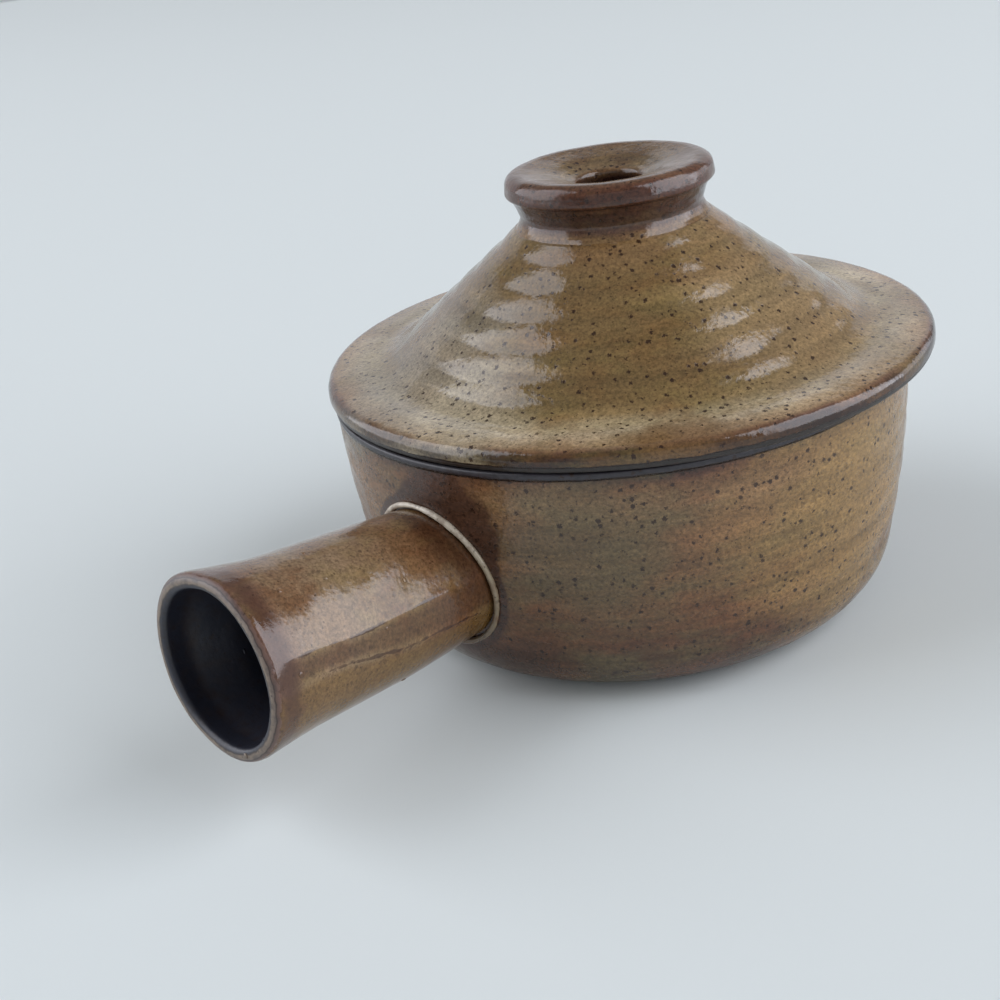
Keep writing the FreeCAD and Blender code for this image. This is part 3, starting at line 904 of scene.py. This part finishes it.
def make_lid():
    """The lid: a flange with a rounded edge over a bare band, and a cone with deep finger ridges."""
    slope = (CROWN_HEIGHT - EDGE_HEIGHT) / (CONE_FOOT - CROWN_RADIUS)
    across = LID_WALL * math.hypot(1, slope) / slope
    mouth = CONE_FOOT + (EDGE_HEIGHT - RIM_HEIGHT) / slope - across
    ceiling = CROWN_HEIGHT - CROWN_THICKNESS
    ceiling_radius = CROWN_RADIUS + CROWN_THICKNESS / slope - across
    section = [
        (0, ceiling, 0),
        (ceiling_radius, ceiling, 6),
        (mouth, RIM_HEIGHT, 0.8),
        (LID_RADIUS - BARE_STEP, RIM_HEIGHT, 1.2),
        (LID_RADIUS - BARE_STEP, RIM_HEIGHT + LID_BAND, 0.2),
        (LID_RADIUS, RIM_HEIGHT + LID_BAND + BARE_STEP, 0.2),
        (LID_RADIUS, EDGE_HEIGHT - 0.9, 2.8),
        (72, EDGE_HEIGHT, 40),
        (CONE_FOOT, EDGE_HEIGHT, 13),
        (CROWN_RADIUS, CROWN_HEIGHT, 0),
        (0, CROWN_HEIGHT, 0),
    ]
    marks = {"grip": lambda place: swell(place.z, EDGE_HEIGHT + 1, CROWN_HEIGHT - 1, 3)}
    mesh = turned("lid_thrown", rounded(section), marks)
    made = worked(
        mesh,
        THROWING,
        ridge_spacing=8.6,
        ridge_depth=0.38,
        ridge_climb=-1.0,
        ridge_start=0.6,
        drift=0.9,
        lump_depth=0.3,
        lump_size=13.0,
        seed=9,
        finish=lid_glaze(),
    )
    put_on_show(moved_to_lid(made), "lid", "lid")


def make_ring():
    """The locating ring under the lid, bare clay."""
    section = [
        (RING_RADIUS - RING_WIDTH, RING_LOW.z, 1.2),
        (RING_RADIUS, RING_LOW.z, 1.2),
        (RING_RADIUS, RING_HIGH.z + RING_SET_IN, 0),
        (RING_RADIUS - RING_WIDTH, RING_HIGH.z + RING_SET_IN, 0),
    ]
    mesh = turned("lid_ring_thrown", rounded(section, closed=True), {}, closed=True)
    made = worked(mesh, THROWING, lump_depth=0.2, lump_size=20.0, seed=2, finish=ring_clay())
    put_on_show(moved_to_lid(made), "lid_ring", "lid")


def make_knob():
    """The knob: a waisted neck under a band, with a funnel of a top that turns down into a finger well."""
    section = [
        (0, CROWN_HEIGHT - 0.5, 0),
        (CROWN_RADIUS + 0.4, CROWN_HEIGHT - 0.5, 0),
        (24.6, CROWN_HEIGHT + 0.9, 1.5),
        (23.6, CROWN_HEIGHT + 3.0, 3.0),
        (KNOB_RADIUS - 1.6, KNOB_TOP - 6.4, 1.0),
        (KNOB_RADIUS, KNOB_TOP - 5.6, 1.0),
        (KNOB_RADIUS - 0.2, KNOB_TOP, 3.4),
        (KNOB_RADIUS - 4.6, KNOB_TOP, 1.2),
        (15, KNOB_TOP - 1.5, 24),
        (WELL_RADIUS, KNOB_TOP - 4, 1.4),
        (WELL_RADIUS, KNOB_TOP - WELL_DEPTH, 1.2),
        (0, KNOB_TOP - WELL_DEPTH, 0),
    ]
    band_foot, band_top = 104, 116
    marks = {"grip": lambda place: swell(place.z, band_foot, band_top, 2)}
    mesh = turned("knob_thrown", rounded(section), marks)
    made = worked(
        mesh,
        THROWING,
        ridge_spacing=3.1,
        ridge_depth=0.2,
        drift=0.8,
        lump_depth=0.35,
        lump_size=9.0,
        seed=5,
        finish=knob_glaze(),
    )
    put_on_show(moved_to_lid(made), "knob", "lid")


def wall_depth(place):
    """How far, in millimetres, a place lies outside the bowl's outer side."""
    side = RIM_RADIUS - SIDE_CURVE + math.sqrt(SIDE_CURVE**2 - (RIM_HEIGHT - place.z / MM) ** 2)
    return math.hypot(place.x, place.y) / MM - side


# Runs of thick glaze along the handle's side: (how far behind the mouth, angle from the top) in order.
UPPER_RUN = [(5, 73), (14, 74), (25, 77), (37, 76), (53, 75)]
LOWER_RUN = [(15, 90), (24, 93), (36, 99), (48, 100), (65, 104)]
RUN_WIDTH = 3
RUN_HEIGHT = 0.3
# How the thrower's hand left the tube: fuller underneath, wider at one side of its mouth, swung a little.
UNDERSIDE = (0.839, 0.545)
FULLER = 1.4
WIDER = 3.0
SWUNG = Vector((0.3, -0.8, 0))


def past_run(place, run):
    """How far, in millimetres, a place on the handle lies past a run, and how far beyond the run's ends."""
    behind = -place.z
    angle = math.degrees(math.atan2(place.y, -place.x))
    middle = run[0][1] if behind < run[0][0] else run[-1][1]
    for (first, first_angle), (last, last_angle) in zip(run, run[1:]):
        if first <= behind <= last:
            middle = first_angle + (last_angle - first_angle) * (behind - first) / (last - first)
    beyond = max(run[0][0] - behind, behind - run[-1][0], 0)
    return math.radians(angle - middle) * math.hypot(place.x, place.y), beyond


def on_run(place):
    """How near, from 0 to 1, a place lies to the middle of a run."""
    nearest = min(math.hypot(*past_run(place, run)) for run in (UPPER_RUN, LOWER_RUN))
    return max(0, 1 - nearest / RUN_WIDTH)


def outer_radius(height):
    """The handle's outer radius at a height on its own axis."""
    if height > -FLARE:
        return NECK_RADIUS + (MOUTH_RADIUS - NECK_RADIUS) * (1 + height / FLARE)
    return NECK_RADIUS + (ROOT_RADIUS - NECK_RADIUS) * (height + FLARE) / (FLARE - HANDLE_BURIED)


def make_handle():
    """The handle: a thrown tube with a rolled mouth, its root cut to the bowl's side and set into it."""
    section = [
        (ROOT_RADIUS, -HANDLE_BURIED, 0),
        (NECK_RADIUS, -FLARE, 30),
        (MOUTH_RADIUS, 0, 2.2),
        (MOUTH_RADIUS - LIP, 0, 1.4),
        (MOUTH_RADIUS - HANDLE_WALL, -6, 8),
        (NECK_RADIUS - HANDLE_WALL, -FLARE, 30),
        (ROOT_RADIUS - HANDLE_WALL, -HANDLE_BURIED, 0),
    ]
    marks = {
        "run": on_run,
        "between_runs": lambda place: swell(past_run(place, UPPER_RUN)[0], 0, ENDLESS, 2)
        * swell(past_run(place, LOWER_RUN)[0], -ENDLESS, 0, 2),
        "below_runs": lambda place: swell(past_run(place, LOWER_RUN)[0], 0, ENDLESS, 2),
        "behind_lip": lambda place: swell(place.z, -10, 1, 5) * swell(place.y, -12, ENDLESS, 14),
        "depth": lambda place: max(0, outer_radius(place.z) - math.hypot(place.x, place.y)),
    }
    points = rounded(section, closed=True)
    mesh = turned("handle_thrown", points, marks, closed=True, columns=HANDLE_COLUMNS)
    for corner in mesh.vertices:
        place = corner.co / MM
        radius = math.hypot(place.x, place.y)
        outside = radius > outer_radius(place.z) - HANDLE_WALL / 2
        raised = RUN_HEIGHT * (on_run(place) ** 2 - 1) * outside
        below = (UNDERSIDE[0] * place.x + UNDERSIDE[1] * place.y) / radius
        full = FULLER * swell(below, -0.3, ENDLESS, 1.2) * swell(place.z, -72, ENDLESS, 30)
        sideways = swell(-place.y / MOUTH_RADIUS, 0.1, ENDLESS, 1)
        widened = WIDER * sideways * swell(place.z, -20, ENDLESS, 20)
        corner.co += Vector((place.x, place.y, 0)) / radius * (raised + full + widened) * MM
        corner.co += SWUNG * swell(place.z, -64, 60, 64) * MM
    made = worked(
        mesh,
        THROWING,
        lump_depth=0.5,
        lump_size=15.0,
        bumps_per_square_cm=0.25,
        seed=6,
        finish=handle_glaze(),
    )
    made.transform(handle_frame())
    axis = handle_frame().to_3x3() @ Vector((0, 0, 1))
    for corner in made.vertices:
        depth = wall_depth(corner.co) + HANDLE_SET_IN
        if depth < 0:
            corner.co -= axis * depth * MM
    put_on_show(made, "handle", "pot")


def bead_tree():
    """Geometry nodes that lay an uneven bead of glaze along a line of edges."""
    tree, given = new_tree(
        "bead", {"Bead radius": "Float", "Unevenness": "Float", "Seed": "Int", "Finish": "Material"}
    )
    line = add(tree, "GeometryNodeMeshToCurve", {"Mesh": given["Geometry"]})
    place = add(tree, "GeometryNodeInputPosition")
    wobble_size = 7 * MM
    uneven = add(
        tree,
        "ShaderNodeTexNoise",
        {"Vector": place, "W": given["Seed"], "Scale": 1 / wobble_size, "Detail": 2},
        noise_dimensions="4D",
    )
    less = add(tree, "ShaderNodeMath", {0: uneven, 1: 0.5}, operation="SUBTRACT")
    swing = add(tree, "ShaderNodeMath", {0: less, 1: given["Unevenness"], 2: 1}, operation="MULTIPLY_ADD")
    profile = add(
        tree, "GeometryNodeCurvePrimitiveCircle", {"Resolution": 14, "Radius": given["Bead radius"]}
    )
    bead = add(
        tree,
        "GeometryNodeCurveToMesh",
        {"Curve": line, "Profile Curve": profile.outputs["Curve"], "Scale": swing},
    )
    smooth = add(tree, "GeometryNodeSetShadeSmooth", {"Geometry": bead})
    return finish_tree(tree, smooth, given["Finish"])


# The bead's line is a ring of so many steps round the handle. It is laid this far behind the mouth and
# then moved along the handle, in a few passes, until it is seated this far outside the bowl's side.
BEAD_STEPS = 200
BEAD_RING_RADIUS = ROOT_RADIUS + 1
BEAD_START = 68
SEATING_PASSES = 6
BEAD_SEAT = 0.15


def make_bead():
    """The bead of pale glaze over the coil that seals the handle to the bowl."""
    turning = handle_frame()
    axis = turning.to_3x3() @ Vector((0, 0, 1))
    made = bmesh.new()
    corners = []
    for step in range(BEAD_STEPS):
        angle = 2 * math.pi * step / BEAD_STEPS
        outwards = turning.to_3x3() @ Vector((math.cos(angle), math.sin(angle), 0))
        seat = turning @ Vector((0, 0, -BEAD_START * MM)) + outwards * BEAD_RING_RADIUS * MM
        for _ in range(SEATING_PASSES):
            seat -= axis * (wall_depth(seat) - BEAD_SEAT) * MM
        corners.append(made.verts.new(seat))
    for first, last in zip(corners, corners[1:] + corners[:1]):
        made.edges.new((first, last))
    mesh = bpy.data.meshes.new("handle_bead")
    made.to_mesh(mesh)
    made.free()
    bead = worked(mesh, bead_tree(), bead_radius=0.72 * MM, unevenness=1.2, seed=3, finish=bead_glaze())
    put_on_show(bead, "handle_coil", "pot")


make_bowl()
make_lid()
make_ring()
make_knob()
make_handle()
make_bead()


# --- stage ----------------------------------------------------------------------------------------

PANEL_DISTANCE = 3


def make_camera():
    """The camera: in front of the handle's near side, above it, rolled a little."""
    turned_to, tipped, rolled = math.radians(138.22), math.radians(90 - 24.26), math.radians(-8)
    place = (0.27458, 0.25345, 0.19658)
    data = bpy.data.cameras.new("camera")
    data.sensor_width = 36
    data.lens = 53.05
    camera = bpy.data.objects.new("camera", data)
    bpy.context.scene.collection.objects.link(camera)
    aim = Matrix.Rotation(turned_to, 4, "Z")
    aim = aim @ Matrix.Rotation(tipped, 4, "X") @ Matrix.Rotation(rolled, 4, "Z")
    camera.matrix_world = Matrix.Translation(place) @ aim
    bpy.context.scene.camera = camera


def make_floor():
    """A wide, pale, plain floor."""
    material = bpy.data.materials.new("pale_floor")
    material.use_nodes = True
    skin = material.node_tree.nodes["Principled BSDF"]
    skin.inputs["Base Color"].default_value = linear("#d9dfdd")
    skin.inputs["Roughness"].default_value = 0.9
    made = bmesh.new()
    bmesh.ops.create_circle(made, cap_ends=True, segments=64, radius=6)
    mesh = bpy.data.meshes.new("floor")
    made.to_mesh(mesh)
    made.free()
    mesh.materials.append(material)
    floor = bpy.data.objects.new("floor", mesh)
    bpy.context.scene.collection.objects.link(floor)


def soft_panel(name, azimuth, width, height, radiance):
    """An upright soft light that stands on the floor at an azimuth and faces the pot.

    A panel of a given radiance, in watts per square metre and steradian, looks as bright at any size.
    """
    data = bpy.data.lights.new(name, "AREA")
    data.shape = "RECTANGLE"
    data.size = width
    data.size_y = height
    data.energy = radiance * math.pi * width * height
    data.color = linear("#f1f3fc")[:3]
    light = bpy.data.objects.new(name, data)
    bpy.context.scene.collection.objects.link(light)
    angle = math.radians(azimuth)
    place = Vector((PANEL_DISTANCE * math.cos(angle), PANEL_DISTANCE * math.sin(angle), height / 2))
    facing = Vector((place.x, place.y, 0)).to_track_quat("Z", "Y").to_matrix().to_4x4()
    light.matrix_world = Matrix.Translation(place) @ facing
    light.visible_camera = False


def make_light():
    """Soft studio light: a tall panel on each side of the camera, a weak one behind, and a dim surround."""
    soft_panel("left_panel", -50, width=3.7, height=6.0, radiance=2.5)
    soft_panel("back_panel", 232, width=5.6, height=1.8, radiance=0.55)
    soft_panel("right_panel", 119, width=3.5, height=5.0, radiance=3.6)
    soft_panel("right_low_panel", 160, width=2.2, height=1.1, radiance=1.4)
    soft_panel("front_panel", 48, width=4.0, height=2.2, radiance=0.3)
    world = bpy.data.worlds.new("surround")
    world.use_nodes = True
    world.node_tree.nodes["Background"].inputs["Color"].default_value = linear("#eceff2")
    world.node_tree.nodes["Background"].inputs["Strength"].default_value = 0.26
    bpy.context.scene.world = world
    bpy.context.scene.view_settings.view_transform = "Standard"


make_camera()
make_floor()
make_light()
